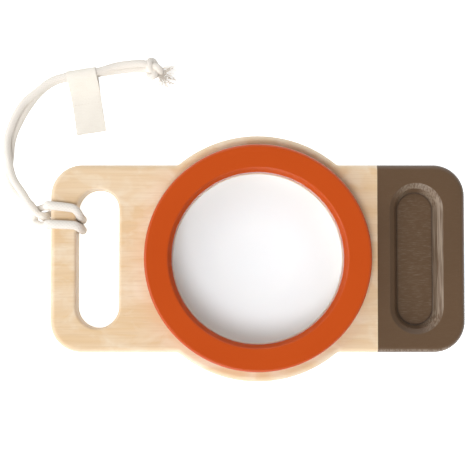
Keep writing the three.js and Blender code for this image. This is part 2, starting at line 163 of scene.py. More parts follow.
# Routes of the tails from the hinge to the knot, in the strap's frame
LOWER_TAIL = [
    (0, 0, 0.0061), (-0.0036, 0.0027, 0.0054), (-0.0070, 0.0059, 0.0042), (-0.0094, 0.0100, 0.0028),
    (-0.0105, 0.0142, 0.00205), (-0.0104, 0.0182, 0.0019), (-0.00995, 0.0224, 0.00185),
    (-0.0096, 0.0271, 0.00185), (-0.0084, 0.0319, 0.00185), (-0.0064, 0.0365, 0.00185),
    (-0.0040, 0.0411, 0.00185), (-0.0010, 0.0457, 0.00185), (0.0027, 0.0503, 0.00185),
    (0.0071, 0.0539, 0.0020), (0.0110, 0.0558, 0.0023), (0.0157, 0.0569, 0.0027), (0.0223, 0.0578, 0.00275),
    (0.0289, 0.0589, 0.0027), (0.0378, 0.0603, 0.0019), (0.0430, 0.0609, 0.0019), (0.0504, 0.0609, 0.0021),
    (0.0532, 0.0605, 0.0030),
]
UPPER_TAIL = [
    (0, 0, 0.0100), (-0.0036, 0.0054, 0.0086), (-0.0063, 0.0090, 0.0073), (-0.0083, 0.0126, 0.0064),
    (-0.0096, 0.0172, 0.0059), (-0.0104, 0.0212, 0.0058), (-0.0108, 0.0248, 0.0057),
    (-0.0108, 0.0287, 0.0056), (-0.0097, 0.0331, 0.0055), (-0.0081, 0.0375, 0.0054),
    (-0.0059, 0.0420, 0.0054), (-0.0028, 0.0462, 0.0055), (0.0024, 0.0504, 0.00565),
    (0.0070, 0.0540, 0.00585), (0.0112, 0.0561, 0.00615), (0.0157, 0.0571, 0.00655), (0.0223, 0.0581, 0.0066),
    (0.0289, 0.0591, 0.0065), (0.0376, 0.0618, 0.0055), (0.0430, 0.0626, 0.0054), (0.0497, 0.0629, 0.0054),
    (0.0525, 0.0622, 0.0046),
]

# Stubs of the tails inside the hitch: out from the bar's edge, aside from the middle, up from the back
LOWER_STUB = [
    (0.0014, -0.0023, -0.00175), (0.0032, -0.0015, -0.0011), (0.0049, -0.0004, 0.0004),
    (0.0058, 0.0002, 0.0017), (0.0068, 0.0010, 0.0025),
]
UPPER_STUB = [
    (0.00075, 0.0013, -0.00075), (0.00185, 0.0011, 0.0014), (0.0028, 0.0004, 0.0044),
    (0.0047, 0.0002, 0.0061), (0.0065, 0.0009, 0.0065),
]

# Knot and frayed ends, in the strap's frame
KNOT_PLACE = (0.0541, 0.0606, 0.0033)
KNOT_LOBE = Vector((0.00092, 0.00134, 0.0016))
KNOT_CORD_RADIUS = 0.0016
KNOT_TURN = math.radians(200)
KNOT_TIP = math.radians(10)
KNOT_STEPS = 260
FRAY_PLACE = (0.0562, 0.0590)
FRAY_HEADING = -0.40
FRAY_WISPS = 11
FRAY_HAIRS = 12
FRAY_FAN = math.radians(110)
FRAY_REACH = 0.0118
FRAY_SEED = 7
FRAY_WISP_STRAY = 0.08
FRAY_WISP_LENGTHS = (0.8, 1.0)
FRAY_SIDE_LOSS = 0.25
FRAY_END_HEIGHTS = (0.0003, 0.0022)
FRAY_HAIR_STRAY = 0.1
FRAY_HAIR_LENGTHS = (0.75, 1.05)
FRAY_CURL = 0.35
FRAY_ROOT_X = 0.0006
FRAY_ROOT_Y = 0.0011
FRAY_ROOT_Z = 0.0008
FRAY_HUMP = 0.0006
HAIR_RADII = (0.00007, 0.00012)
HAIR_TAPER = 0.6
HAIR_SIDES = 5
HAIR_STEPS = 8

# Label: one strip of tape, folded round both tails
LABEL_WIDTH = 0.0132
LABEL_REACH = 0.0259
LABEL_THICKNESS = 0.00042
LABEL_LIFT = 0.00032
LABEL_FAR = 0.00238
LABEL_TOP = 0.00905
LABEL_SHOULDER = 0.0031
LABEL_PLY_GAP = 0.00058
LABEL_STEP = 0.0004
LABEL_COLUMNS = 26
LABEL_SMOOTH_ANGLE = 60
LABEL_EDGE_FROM = 0.46
LABEL_EDGE_SHARE = 0.04
LABEL_EDGE_LOSS = 0.35
LABEL_WAVE = 0.00007
LABEL_WAVE_LENGTH = 0.021
LABEL_WAVE_SLANT = 1.3
LABEL_WAVE_LEAST = 0.2
LABEL_WAVER = 0.006
LABEL_WAVER_LENGTH = 0.0031
STITCH_Y = -0.0126
STITCH_COUNT = 8
STITCH_SHARE = 0.7
STITCH_RISE = 0.00028
STITCH_SINK = 0.00022
THREAD_RADIUS = 0.00013

# Course of the label's strip across the cord and up: under the tails, round them and back over itself
LOW_PLY = LABEL_LIFT
HIGH_PLY = LABEL_LIFT + LABEL_PLY_GAP
LABEL_COURSE = [
    (-LABEL_REACH, LOW_PLY), (-0.022, LOW_PLY), (-0.017, LOW_PLY), (-0.012, LOW_PLY), (FOLD_Y, LOW_PLY),
    (-0.005, LOW_PLY + 0.00005), (-0.002, LOW_PLY + 0.0002), (0.0006, LOW_PLY + 0.0007),
    (LABEL_FAR - 0.0003, 0.0028), (LABEL_FAR, 0.0048), (LABEL_FAR - 0.0003, 0.0072),
    (0.0013, LABEL_TOP - 0.0004), (-0.0002, LABEL_TOP), (-0.0018, LABEL_TOP - 0.0006),
    (-LABEL_SHOULDER, 0.0068), (-0.0050, 0.0045), (-0.0072, 0.0027), (-0.0096, 0.0016),
    (-0.0122, HIGH_PLY + 0.0003), (-0.0150, HIGH_PLY), (-0.0185, HIGH_PLY), (-0.0225, HIGH_PLY + 0.00006),
    (-LABEL_REACH + 0.0002, HIGH_PLY + 0.0002),
]

# Colours
WOOD_PALE = (0.77, 0.62, 0.455)
WOOD_WARM = (0.70, 0.50, 0.295)
WOOD_DEEP = (0.58, 0.39, 0.22)
WOOD_PORE = (0.50, 0.33, 0.19)
# Pale wood for the random figure, and for the painted sheen on the rounded edges
WOOD_FIGURE_AND_EDGE_SHEEN = (0.80, 0.69, 0.545)
PAINT_BROWN = (0.116, 0.068, 0.037)
PAINT_BROWN_DEEP = (0.107, 0.063, 0.034)
# Lighter brown for the grain in the pocket, and for the painted highlight on slopes and edges that face the
# light
PAINT_BROWN_GRAIN_AND_HIGHLIGHT = (0.27, 0.21, 0.155)
# Painted shade along the foot of the pocket's wall
PAINT_BROWN_CORNER_SHADE = (0.04, 0.025, 0.016)
PAINT_ORANGE = (0.50, 0.068, 0.0065)
PAINT_ORANGE_DEEP = (0.47, 0.061, 0.005)
COTTON = (0.775, 0.73, 0.67)
# Darker cotton for random fuzz, and for the painted shade in the braid's grooves
COTTON_TONE_AND_GROOVE_SHADE = (0.53, 0.475, 0.415)
FIBRE = (0.70, 0.63, 0.55)
TAPE = (0.84, 0.80, 0.73)
# Darker tape for random slubs, and for the painted shade in the weave's hollows
TAPE_TONE_AND_WEAVE_SHADE = (0.73, 0.68, 0.60)
LENS_COLOUR = (0.985, 0.992, 0.99, 1)
WHITE = (1, 1, 1, 1)
MIDDLE_GREY = (0.5, 0.5, 0.5, 1)
BLACK = (0, 0, 0, 1)

# Other values of the finishes
# Width of the painted shade along the foot of the pocket's wall
CORNER_SHADE_WIDTH = 0.0009
# Share of the painted sheen on the wood's rounded edges
WOOD_EDGE_SHEEN_SHARE = 0.55
CLOTH_SPECULAR = 0.15

# Patterns in the finishes: about how many times each repeats in a metre along X, Y and Z
WOOD_BANDS = (4, 80, 80)
WOOD_PATCHES = (22, 34, 34)
WOOD_FIGURE = (90, 140, 140)
WOOD_FIBRES = (45, 1500, 1500)
WOOD_PORES = (150, 3000, 3000)
BROWN_CLOUD = (30, 60, 60)
BROWN_GRAIN = (420, 3000, 3000)
BROWN_STREAKS = (1900, 70, 1100)
ORANGE_CLOUD = (25, 40, 40)
ORANGE_PEEL = (900, 900, 900)
COTTON_FUZZ = (2400, 2400, 2400)
FIBRE_TONES = (700, 700, 700)
TAPE_SLUB = (260, 1500, 1500)

# Weave of the tape: threads across its width, and the step between threads along it
TAPE_WARPS = 36
TAPE_WEFT_PITCH = 0.00042

# Table
TABLE_HALF = 4.0
TABLE_COLOUR = (0.87, 0.915, 0.95, 1)
TABLE_GLOW = 0.35
TABLE_GLOW_AT_LENS = 0.17
TABLE_GLOW_AT_RIM = 0.03
TABLE_GLOW_SEEN = 0.5
TABLE_GLOW_CORE = 0.4
TABLE_GLOW_DIM = 0.85

# Camera
CAMERA_PLACE = Vector((-0.01204, -0.01803, 0.6285))
CAMERA_AIM = Vector((-0.0109, 0.0119, BACK_Z))
FOCAL_LENGTH = 111.6
SENSOR_WIDTH = 36.0

# Light: two soft lamps that reflections don't show, and a white room with three brighter patches
KEY_FROM = Vector((-0.18, -0.4, 1.0)).normalized()
KEY_STRENGTH = 1.82
KEY_SOFTNESS = math.radians(25)
GLOW_FROM = Vector((-0.25, -1.0, 0.5)).normalized()
KEY_GLOW = 1.8
KEY_GLOW_EDGE = math.cos(math.radians(26))
SIDE_FROM = Vector((-1.0, -0.2, 0.45)).normalized()
SIDE_STRENGTH = 0.15
SIDE_SOFTNESS = math.radians(30)
SIDE_GLOW = 1.5
SIDE_GLOW_EDGE = math.cos(math.radians(36))
BACK_FROM = Vector((0.15, 1.0, 0.45)).normalized()
BACK_GLOW = 0.55
BACK_GLOW_EDGE = math.cos(math.radians(48))
GLOW_CORE = math.cos(math.radians(6))
SKY_STRENGTH = 0.76
SKY_FAR_SIDE = 0.5
SKY_OVERHEAD = 0.25
SKY_DIMS_FROM_Z = 0.5
SKY_DIMS_TO_Z = 0.92
SKY_DIMS_FROM_X = -0.2
SKY_DIMS_TO_X = 0.9


# Meshes

def mesh_object(name, points, faces, smooth_angle=180):
    """A new object of closed faces that point out, smooth up to an angle in degrees."""
    mesh = bpy.data.meshes.new(name)
    mesh.from_pydata([tuple(point) for point in points], [], faces)
    build = bmesh.new()
    build.from_mesh(mesh)
    bmesh.ops.recalc_face_normals(build, faces=build.faces)
    build.to_mesh(mesh)
    build.free()
    mesh.shade_smooth()
    if smooth_angle < 180:
        mesh.set_sharp_from_angle(angle=math.radians(smooth_angle))
    obj = bpy.data.objects.new(name, mesh)
    scene.collection.objects.link(obj)
    return obj


def even_flats(obj):
    """Keeps flat faces flat to the eye beside rounded edges."""
    modifier = obj.modifiers.new("Even flats", "WEIGHTED_NORMAL")
    modifier.weight = 100
    modifier.keep_sharp = True


def quarter(centre_a, centre_b, radius, start, end):
    """Points of a round from one angle to another, as pairs."""
    angles = [start + (end - start) * step / EDGE_STEPS for step in range(EDGE_STEPS + 1)]
    return [(centre_a + radius * math.cos(a), centre_b + radius * math.sin(a)) for a in angles]


def eased_corner(before, corner, after, ease):
    """Points of a corner between two straights, cut back by ease along each and rounded."""
    corner = Vector(corner)
    start = corner + ease * (Vector(before) - corner).normalized()
    end = corner + ease * (Vector(after) - corner).normalized()
    shares = [step / EDGE_STEPS for step in range(EDGE_STEPS + 1)]
    return [tuple(start.lerp(corner, share).lerp(corner.lerp(end, share), share)) for share in shares]


def arc(centre, radius, start, end, hollow=False):
    """Points of an outline's arc, each with the direction that points out of the outline there."""
    found = []
    for step in range(ARC_STEPS + 1):
        angle = start + (end - start) * step / ARC_STEPS
        out = Vector((math.cos(angle), math.sin(angle)))
        found.append((Vector(centre) + radius * out, -out if hollow else out))
    return found


def ring_at(outline, grow, z):
    """An outline moved out by grow, at a height."""
    return [Vector((*(point + grow * out), z)) for point, out in outline]


class Solid:
    """Points and faces of a closed body, made from stacks of rings and the flat faces between them."""

    def __init__(self):
        self.points = []
        self.faces = []

    def wall(self, rings):
        """Joins rings of as many points each, and returns the first and last ring's point numbers."""
        count = len(rings[0])
        first = len(self.points)
        for ring in rings:
            self.points.extend(ring)
        for level in range(len(rings) - 1):
            low = first + level * count
            for side in range(count):
                after = (side + 1) % count
                self.faces.append((low + side, low + after, low + count + after, low + count + side))
        last = first + (len(rings) - 1) * count
        return list(range(first, first + count)), list(range(last, last + count))

    def tube(self, rings):
        """Joins rings and closes both ends."""
        for loop in self.wall(rings):
            self.faces.append(tuple(loop))

    def cap(self, *loops):
        """Fills the flat face between loops of points: the first is its outline, and the others are holes."""
        build = bmesh.new()
        edges = []
        for loop in loops:
            corners = [build.verts.new(self.points[number]) for number in loop]
            for number, corner in zip(loop, corners):
                corner.index = number
            for side, corner in enumerate(corners):
                edges.append(build.edges.new((corner, corners[(side + 1) % len(corners)])))
        numbers = {vert: vert.index for vert in build.verts}
        bmesh.ops.triangle_fill(build, use_beauty=True, edges=edges)
        for face in build.faces:
            self.faces.append(tuple(numbers[vert] for vert in face.verts))
        build.free()


def turned(name, profile, smooth_angle=180):
    """A body of revolution about Z: points of radius and height, from axis to axis or closed on itself."""
    solid = Solid()
    whole = profile[0][0] > 0
    rings = []
    for radius, z in profile if whole else profile[1:-1]:
        rings.append([Vector((radius * math.cos(a), radius * math.sin(a), z)) for a in TURN_ANGLES])
    if whole:
        solid.wall([*rings, rings[0]])
        keep = len(solid.points) - TURN_STEPS
        solid.points = solid.points[:keep]
        solid.faces = [tuple(number % keep for number in face) for face in solid.faces]
    else:
        first, last = solid.wall(rings)
        for loop, (_, z) in ((first, profile[0]), (last, profile[-1])):
            pole = len(solid.points)
            solid.points.append(Vector((0, 0, z)))
            for side in range(TURN_STEPS):
                solid.faces.append((loop[side], loop[(side + 1) % TURN_STEPS], pole))
    return mesh_object(name, solid.points, solid.faces, smooth_angle)


# Wooden plate and painted grip

def plate_outline():
    """The outline of the bare wood, counter-clockwise from the paint line."""
    junction_y = HALF_WIDTH + JUNCTION_RADIUS
    junction_x = math.sqrt((DISC_RADIUS + JUNCTION_RADIUS) ** 2 - junction_y ** 2)
    bearing = math.atan2(junction_y, junction_x)
    corner_x = CORNER_RADIUS - HALF_LENGTH
    corner_y = HALF_WIDTH - CORNER_RADIUS
    right = math.pi / 2
    return [
        (Vector((PAINT_LINE_X, HALF_WIDTH)), Vector((0, 1))),
        *arc((junction_x, junction_y), JUNCTION_RADIUS, -right, bearing - math.pi, hollow=True),
        *arc((0, 0), DISC_RADIUS, bearing, math.pi - bearing)[1:-1],
        *arc((-junction_x, junction_y), JUNCTION_RADIUS, -bearing, -right, hollow=True),
        *arc((corner_x, corner_y), CORNER_RADIUS, right, math.pi),
        *arc((corner_x, -corner_y), CORNER_RADIUS, math.pi, 3 * right),
        *arc((-junction_x, -junction_y), JUNCTION_RADIUS, right, bearing, hollow=True),
        *arc((0, 0), DISC_RADIUS, math.pi + bearing, 2 * math.pi - bearing)[1:-1],
        *arc((junction_x, -junction_y), JUNCTION_RADIUS, math.pi - bearing, right, hollow=True),
        (Vector((PAINT_LINE_X, -HALF_WIDTH)), Vector((0, -1))),
    ]


def grip_outline():
    """The outline of the painted end, counter-clockwise from the paint line."""
    corner = (HALF_LENGTH - CORNER_RADIUS, HALF_WIDTH - CORNER_RADIUS)
    return [
        (Vector((PAINT_LINE_X, -HALF_WIDTH)), Vector((0, -1))),
        *arc((corner[0], -corner[1]), CORNER_RADIUS, -math.pi / 2, 0),
        *arc(corner, CORNER_RADIUS, 0, math.pi / 2),
        (Vector((PAINT_LINE_X, HALF_WIDTH)), Vector((0, 1))),
    ]


def stadium(x, width, length):
    """An outline with round ends, long in Y."""
    radius = width / 2
    straight = (length - width) / 2
    found = []
    for end in (1, -1):
        for step in range(END_STEPS + 1):
            angle = math.pi * step / END_STEPS
            out = end * Vector((math.cos(angle), math.sin(angle)))
            found.append((Vector((x, end * straight)) + radius * out, out))
    return found


def edge_levels(side, radius):
    """How far a wall stands out at each height between the rounded edges of the back and the front."""
    half = math.pi / 2
    back = quarter(radius, BACK_Z + radius, radius, -half, -math.pi)
    front = quarter(radius, TOP_Z - radius, radius, math.pi, half)
    return [(side * grow, z) for grow, z in back + front]


def body_plate():
    """The bare wood, with the finger slot and the stepped window for the lens."""
    slot_x = BAR_WIDTH + SLOT_WIDTH / 2 - HALF_LENGTH
    slot = stadium(slot_x, SLOT_WIDTH, SLOT_LENGTH)
    outline = plate_outline()
    solid = Solid()
    outer = solid.wall([ring_at(outline, grow, z) for grow, z in edge_levels(-1, EDGE_RADIUS)])
    hole = solid.wall([ring_at(slot, grow, z) for grow, z in edge_levels(1, SLOT_EDGE)])
    seat = LENS_RADIUS + SEAT_CLEARANCE
    eased = WINDOW_RADIUS + WINDOW_EASE
    profile = [
        *quarter(eased, BACK_Z + WINDOW_EASE, WINDOW_EASE, -math.pi / 2, -math.pi),
        (WINDOW_RADIUS, -LENS_RIM_HALF),
        (seat, -LENS_RIM_HALF),
        (seat, TOP_Z),
    ]
    circle = [(Vector((0, 0)), Vector((math.cos(a), math.sin(a)))) for a in TURN_ANGLES]
    window = solid.wall([ring_at(circle, radius, z) for radius, z in profile])
    for level in (0, 1):
        solid.cap(outer[level], hole[level], window[level])
    obj = mesh_object("plate_wood", solid.points, solid.faces, SMOOTH_ANGLE)
    even_flats(obj)
    return obj


def grip_end():
    """The painted end, with its pocket."""
    outline = grip_outline()
    pocket_x = HALF_LENGTH - POCKET_WALL - POCKET_WIDTH / 2
    pocket = stadium(pocket_x, POCKET_WIDTH, POCKET_LENGTH)
    floor = TOP_Z - POCKET_DEPTH
    shoulder = TOP_Z - POCKET_BEVEL_FALL
    solid = Solid()
    outer = solid.wall([ring_at(outline, grow, z) for grow, z in edge_levels(-1, EDGE_RADIUS)])
    levels = [
        *eased_corner((-POCKET_WIDTH / 2, floor), (-POCKET_DRAFT, floor), (0, shoulder), POCKET_EASE / 2),
        *eased_corner((-POCKET_DRAFT, floor), (0, shoulder), (POCKET_BEVEL, TOP_Z), POCKET_EASE),
        *eased_corner((0, shoulder), (POCKET_BEVEL, TOP_Z), (POCKET_WIDTH, TOP_Z), POCKET_EASE),
    ]
    inner = solid.wall([ring_at(pocket, grow, z) for grow, z in levels])
    solid.cap(outer[0])
    solid.cap(outer[1], inner[1])
    solid.cap(inner[0])
    obj = mesh_object("grip_painted", solid.points, solid.faces, SMOOTH_ANGLE)
    even_flats(obj)
    return obj


# Ring and lens

def lens_ring():
    """The raised ring: rounded outside, bevelled inside, with the spigot that holds the lens down."""
    half = math.pi / 2
    outer = (RING_RADIUS - RING_OUTER_EDGE, RING_TOP_Z - RING_OUTER_EDGE)
    brink = (WINDOW_RADIUS + RING_BEVEL, RING_TOP_Z)
    shoulder = (WINDOW_RADIUS, RING_TOP_Z - RING_BEVEL_FALL)
    foot = (WINDOW_RADIUS, SPIGOT_Z)
    profile = [
        (RING_RADIUS, TOP_Z),
        *quarter(*outer, RING_OUTER_EDGE, 0, half),
        *eased_corner((RING_RADIUS, RING_TOP_Z), brink, shoulder, RING_EASE),
        *eased_corner(brink, shoulder, foot, RING_EASE),
        foot,
        (LENS_RADIUS, SPIGOT_Z),
        (LENS_RADIUS, TOP_Z),
    ]
    obj = turned("ring_painted", profile, SMOOTH_ANGLE)
    even_flats(obj)
    return obj


def lens():
    """A lens that bulges on both sides, with a thin rim."""
    bulge = LENS_APEX_Z - LENS_RIM_HALF
    dome = WINDOW_RADIUS - DOME_MARGIN
    sphere = (dome ** 2 + bulge ** 2) / (2 * bulge)
    radii = [dome * step / DOME_STEPS for step in range(DOME_STEPS + 1)]
    heights = [LENS_RIM_HALF + bulge - sphere + math.sqrt(sphere ** 2 - r ** 2) for r in radii]
    front = list(zip(radii, heights))
    back = [(radius, -height) for radius, height in front]
    rim = [(LENS_RADIUS, -LENS_RIM_HALF), (LENS_RADIUS, LENS_RIM_HALF)]
    return turned("lens_clear", [*back, *rim, *reversed(front)], LENS_SMOOTH_ANGLE)


# Cord

def bar_turn(side):
    """One turn round the bar, from its outer edge over the front, down through the slot and behind it."""
    bar_x = BAR_WIDTH / 2 - HALF_LENGTH
    middle_z = (BACK_Z + TOP_Z) / 2
    half_width = BAR_WIDTH / 2 + HITCH_REACH
    half_height = (TOP_Z - BACK_Z) / 2 + HITCH_REACH
    back_y = HITCH_Y - HITCH_BACK_DROP + side * HITCH_BACK_PITCH / 2
    slot_y = HITCH_Y - HITCH_SLOT_DROP + side * HITCH_SLOT_PITCH / 2
    outer_y = HITCH_Y + side * HITCH_OUTER_PITCH / 2
    places = []
    for degrees in range(180, HITCH_BEHIND_BAR - 1, -HITCH_TURN_STEP):
        angle = math.radians(degrees)
        to_slot = eased_step(degrees, HITCH_BEHIND_BAR, HITCH_IN_SLOT)
        to_edge = eased_step(degrees, HITCH_LEAVES_SLOT, HITCH_AT_EDGE)
        y = back_y + (slot_y - back_y) * to_slot
        y += (outer_y - y) * to_edge
        x = bar_x + half_width * squared(math.cos(angle), 2 / HITCH_SQUARENESS)
        z = middle_z + half_height * squared(math.sin(angle), 2 / HITCH_SQUARENESS)
        places.append((x, y, z))
    return places


def eased_step(value, low, high):
    """From 0 at low to 1 at high, with a soft start and end."""
    share = min(max((value - low) / (high - low), 0), 1)
    return share * share * (3 - 2 * share)


def squared(value, power):
    """A sine or cosine made squarer by a power below 1, with its sign kept."""
    return math.copysign(abs(value) ** power, value)


def table_z(x):
    """The height of the table, which slopes a little in the plate's frame."""
    return strap_origin.z - (x - strap_origin.x) * strap_z.x / strap_z.z


def half_bight(side):
    """From the middle of the loop, under the tails on the table, up to the bar's outer edge."""
    start_x = -HALF_LENGTH - HITCH_REACH
    start_z = (BACK_Z + TOP_Z) / 2
    low_z = table_z(start_x - BIGHT_REACH) + BIGHT_LIFT
    places = []
    for degrees in range(90, 0, -HITCH_TURN_STEP):
        angle = math.radians(degrees)
        x = start_x - BIGHT_REACH * math.sin(angle)
        across = abs(math.cos(angle)) ** BIGHT_SQUARENESS
        y = HITCH_Y + side * HITCH_OUTER_PITCH / 2 * across
        places.append((x, y, start_z + (low_z - start_z) * math.sin(angle) ** BIGHT_FALL))
    return places


def half_cord(side, stub, tail):
    """Places down one half of the cord, each with the cord's radius and spread there."""
    rows = [(*place, LOOP_RADIUS, 1) for place in half_bight(side)]
    rows += [(*place, WRAP_RADIUS, WRAP_SPREAD) for place in bar_turn(side)]
    for out, aside, up in stub:
        rows.append((-HALF_LENGTH - out, HITCH_Y + aside, BACK_Z + up, STUB_RADIUS, 1))
    for place in tail:
        rows.append((*(STRAP @ Vector(place)), TAIL_RADIUS, 1))
    return np.array(rows)


def lengths_along(line, power=1.0):
    """How far along a line each of its points lies, with a power taken of each of its steps."""
    steps = np.linalg.norm(np.diff(line, axis=0), axis=1)
    return np.concatenate([[0], np.cumsum(steps ** power)])


def smooth_line(rows, step):
    """Points a step apart on a smooth curve through all the rows, whose first three numbers are places."""
    rows = np.vstack([2 * rows[0] - rows[1], rows, 2 * rows[-1] - rows[-2]])
    knots = lengths_along(rows[:, :3], power=0.5)
    found = []
    for first in range(len(rows) - 3):
        p = rows[first:first + 4]
        k = knots[first:first + 4]
        t = np.linspace(k[1], k[2], SPAN_STEPS, endpoint=False)[:, None]
        a = [((k[i + 1] - t) * p[i] + (t - k[i]) * p[i + 1]) / (k[i + 1] - k[i]) for i in range(3)]
        b = [((k[i + 2] - t) * a[i] + (t - k[i]) * a[i + 1]) / (k[i + 2] - k[i]) for i in range(2)]
        found.append(((k[2] - t) * b[0] + (t - k[1]) * b[1]) / (k[2] - k[1]))
    line = np.vstack([*found, rows[-2:-1]])
    along = lengths_along(line[:, :3])
    at = np.linspace(0, along[-1], round(along[-1] / step) + 1)
    return np.stack([np.interp(at, along, column) for column in line.T], axis=1)


def side_frames(line):
    """Two directions across a line at each of its points, without twist along it."""
    tangents = np.gradient(line, axis=0)
    tangents /= np.linalg.norm(tangents, axis=1)[:, None]
    side = np.cross(tangents[0], (0, 0, 1))
    sides = []
    for tangent in tangents:
        side = side - tangent * (side @ tangent)
        side = side / np.linalg.norm(side)
        sides.append(side)
    sides = np.array(sides)
    return sides, np.cross(tangents, sides)


def braid(along, angle):
    """Height of a braid's strands, 0 to 1, at a length along the cord and an angle round it."""
    turn = BRAID_STRANDS * (angle / (2 * math.pi) + along / BRAID_LEAD)
    back = BRAID_STRANDS * (angle / (2 * math.pi) - along / BRAID_LEAD)
    over = (np.floor(turn) + np.floor(back)) % 2 == 0
    one = 2 * (turn % 1) - 1
    two = 2 * (back % 1) - 1
    across = np.where(over, one, two)
    down = np.where(over, two, one)
    return (1 - np.abs(across) ** BRAID_ROUNDNESS) * (1 - BRAID_DIP * down ** 2)


def braided_tube(name, line, radius, spread=1.0):
    """A tube with a braid's relief along a line: radius and spread, which widens it in Y, may vary."""
    count = len(line)
    along = lengths_along(line)
    one, two = side_frames(line)
    angle = np.linspace(0, 2 * math.pi, CORD_SIDES, endpoint=False)
    relief = braid(along[:, None], angle[None, :])
    reach = np.broadcast_to(radius, count)[:, None] * (1 - BRAID_DEPTH * (1 - relief))
    offset = (np.cos(angle)[None, :, None] * one[:, None] + np.sin(angle)[None, :, None] * two[:, None])
    offset = offset * reach[:, :, None]
    offset[:, :, 1] *= np.broadcast_to(spread, count)[:, None]
    points = (line[:, None] + offset).reshape(-1, 3)
    lift = (points - np.array(strap_origin)) @ np.array(strap_z)
    points += np.maximum(TABLE_GAP - lift, 0)[:, None] * np.array(strap_z)
    solid = Solid()
    rings = [[Vector(point) for point in ring] for ring in points.reshape(count, CORD_SIDES, 3)]
    solid.tube(rings)
    obj = mesh_object(name, solid.points, solid.faces)
    height = obj.data.attributes.new("relief", "FLOAT", "POINT")
    height.data.foreach_set("value", relief.astype(np.float32).ravel())
    return obj


def strap_cord(name, side, stub, tail):
    """One half of the cord, whose tail starts at the strap's hinge. Returns it with its middle line."""
    rows = smooth_line(half_cord(side, stub, tail), CORD_STEP)
    obj = braided_tube(name, rows[:, :3], rows[:, 3], rows[:, 4])
    return obj, rows[:, :3]


def strap_knot():
    """A tight knot of cord: three lobes that pass over and under each other."""
    turn = np.linspace(0, 2 * math.pi, KNOT_STEPS, endpoint=False)
    rows = np.stack([
        KNOT_LOBE.x * (np.sin(turn) + 2 * np.sin(2 * turn)),
        KNOT_LOBE.y * (np.cos(turn) - 2 * np.cos(2 * turn)),
        -KNOT_LOBE.z * np.sin(3 * turn),
    ], axis=1)
    place = STRAP @ Matrix.Translation(KNOT_PLACE)
    place = place @ Matrix.Rotation(KNOT_TIP, 4, "X") @ Matrix.Rotation(KNOT_TURN, 4, "Z")
    line = np.array([place @ Vector(row) for row in np.vstack([rows, rows[:2]])])
    return braided_tube("strap_knot_cord", line, KNOT_CORD_RADIUS)


def either_way(chance, most):
    """A random amount, up to most in either direction."""
    return chance.uniform(-most, most)


def strap_fray():
    """Loose fibres in wisps that fan out of the knot and settle on the table."""
    chance = random.Random(FRAY_SEED)
    solid = Solid()
    for wisp in range(FRAY_WISPS):
        share = wisp / (FRAY_WISPS - 1) - 0.5
        wisp_heading = FRAY_HEADING + FRAY_FAN * share + either_way(chance, FRAY_WISP_STRAY)
        wisp_reach = FRAY_REACH * (1 - FRAY_SIDE_LOSS * abs(share)) * chance.uniform(*FRAY_WISP_LENGTHS)
        wisp_end = chance.uniform(*FRAY_END_HEIGHTS)
        for _ in range(FRAY_HAIRS):
            heading = wisp_heading + either_way(chance, FRAY_HAIR_STRAY)
            reach = wisp_reach * chance.uniform(*FRAY_HAIR_LENGTHS)
            curl = either_way(chance, FRAY_CURL)
            start = Vector((either_way(chance, FRAY_ROOT_X), either_way(chance, FRAY_ROOT_Y), 0))
            rise = either_way(chance, FRAY_ROOT_Z)
            radius = chance.uniform(*HAIR_RADII)
            line = []
            for step in range(HAIR_STEPS + 1):
                part = step / HAIR_STEPS
                bend = heading + curl * part * part
                out = Vector((math.cos(bend), math.sin(bend), 0)) * reach * part
                high = (KNOT_PLACE[2] + rise) * (1 - part) + wisp_end * part
                high += FRAY_HUMP * math.sin(math.pi * part)
                place = Vector((*FRAY_PLACE, high)) + start + out
                line.append(STRAP @ place)
            hair(solid, np.array(line), radius)
    return mesh_object("strap_fray_fibres", solid.points, solid.faces)


def hair(solid, line, radius):
    """Adds one tapered fibre along a line."""
    one, two = side_frames(line)
    rings = []
    for number, place in enumerate(line):
        thick = radius * (1 - HAIR_TAPER * number / (len(line) - 1))
        ring = []
        for side in range(HAIR_SIDES):
            angle = 2 * math.pi * side / HAIR_SIDES
            across = math.cos(angle) * one[number] + math.sin(angle) * two[number]
            ring.append(Vector(place + thick * across))
        rings.append(ring)
    solid.tube(rings)


# Label

def tape_label():
    """The folded strip, with its thickness and a slight wave, and the length of the tape."""
    course = np.array([(0, y, z) for y, z in LABEL_COURSE])
    line = smooth_line(course, LABEL_STEP)[:, 1:]
    step = np.gradient(line, axis=0)
    step /= np.linalg.norm(step, axis=1)[:, None]
    normal = np.stack([-step[:, 1], step[:, 0]], axis=1)
    along = lengths_along(line)
    across = np.linspace(-0.5, 0.5, LABEL_COLUMNS + 1)
    rings = []
    lengths = []
    for share in across:
        edge = 1 - LABEL_EDGE_LOSS * max(0, abs(share) - LABEL_EDGE_FROM) / LABEL_EDGE_SHARE
        half = LABEL_THICKNESS / 2 * edge
        wave = LABEL_WAVE * np.sin(2 * math.pi * (share * LABEL_WAVE_SLANT + along / LABEL_WAVE_LENGTH))
        x = LABEL_WIDTH * share * (1 + LABEL_WAVER * np.sin(along / LABEL_WAVER_LENGTH))
        ring = []
        for face in (1, -1):
            order = range(len(line)) if face > 0 else reversed(range(len(line)))
            for i in order:
                aside = face * half + wave[i] * (LABEL_WAVE_LEAST + along[i] / along[-1])
                y, z = line[i] + normal[i] * aside
                ring.append(LABEL @ Vector((x[i], y, max(z, TABLE_GAP))))
                lengths.append((share + 0.5, along[i]))
        rings.append(ring)
    solid = Solid()
    first, last = solid.wall(rings)
    count = len(line)
    for loop in (first, last):
        for i in range(count - 1):
            solid.faces.append((loop[i], loop[i + 1], loop[2 * count - 2 - i], loop[2 * count - 1 - i]))
    obj = mesh_object("label_tape_strip", solid.points, solid.faces, LABEL_SMOOTH_ANGLE)
    for name, column in (("tape_across", 0), ("tape_along", 1)):
        attribute = obj.data.attributes.new(name, "FLOAT", "POINT")
        attribute.data.foreach_set("value", np.array(lengths, np.float32)[:, column].copy())
    return obj, along[-1]


